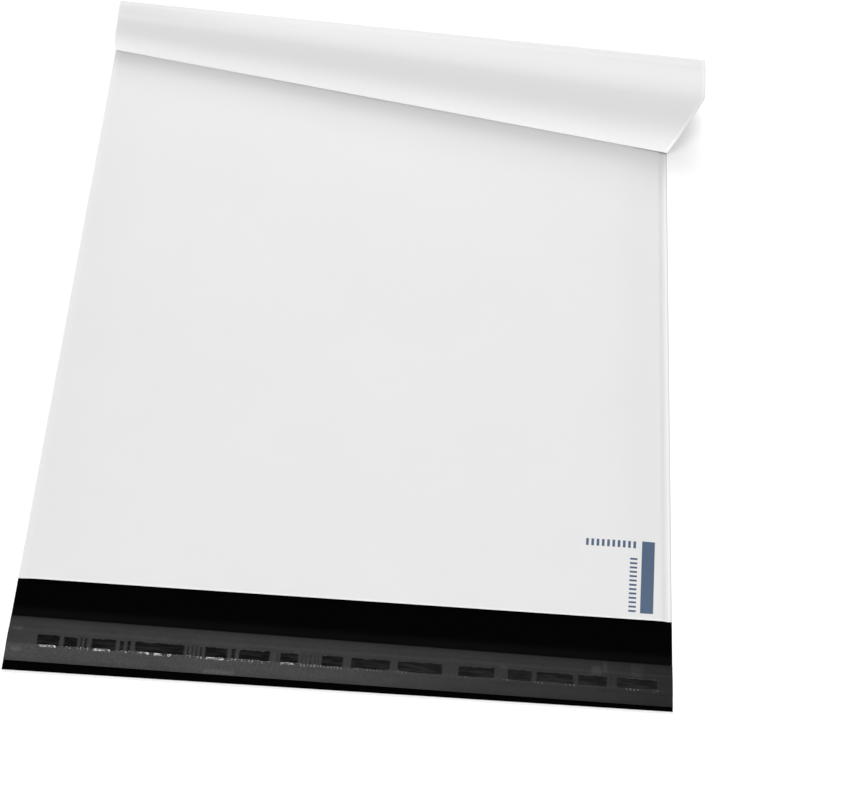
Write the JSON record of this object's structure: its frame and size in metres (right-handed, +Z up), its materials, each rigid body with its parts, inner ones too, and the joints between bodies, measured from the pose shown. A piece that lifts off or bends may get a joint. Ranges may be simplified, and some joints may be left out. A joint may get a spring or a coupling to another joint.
{
  "type": "poly mailer",
  "caption": "Flat plastic-film mailing pouch with a peel-and-seal flap, its bottom end rolled up and over.",
  "frame": {"origin": "on the underside, on the pouch's centre line, midway along the length that lies on the table", "axes": "+X across the pouch to the right, +Y from the flap's tip to the bottom fold, +Z up"},
  "size_m": [0.3224, 0.3908, 0.026],
  "materials": {
    "white_film": "satin co-extruded film, white outside and black inside, with a plain blue bar near the mouth",
    "hot_melt": "clear tacky hot-melt adhesive, which looks dark over the black film",
    "liner_film": "thin smooth release film, dark grey over the black flap"
  },
  "bodies": {
    "root": {"pouch": "white_film", "adhesive_strip": "hot_melt", "release_liner": "liner_film"}
  },
  "joints": []
}
